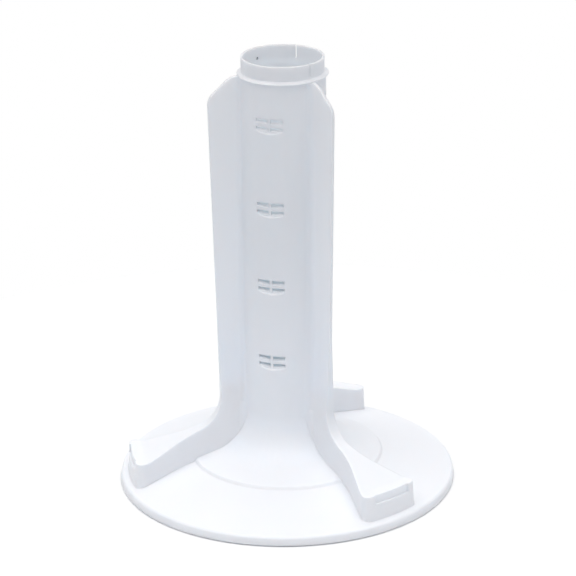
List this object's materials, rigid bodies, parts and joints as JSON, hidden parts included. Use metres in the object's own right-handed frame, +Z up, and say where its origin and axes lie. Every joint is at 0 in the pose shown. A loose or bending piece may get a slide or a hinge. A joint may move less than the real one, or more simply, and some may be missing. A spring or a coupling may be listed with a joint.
{
  "type": "washing machine agitator",
  "caption": "One-piece moulded agitator: a hollow column with thin fins that widen into vanes on a round skirt, louvre windows, a neck for a cap and a splined socket for the drive.",
  "frame": {"origin": "centre of the base, on the surface that the rim stands on", "axes": "+Z up along the column, towards the neck; +X along one vane"},
  "size_m": [0.34, 0.3398, 0.442],
  "materials": {
    "white_plastic": "satin moulded polypropylene"
  },
  "bodies": {
    "root": {"agitator": "white_plastic"}
  },
  "joints": []
}
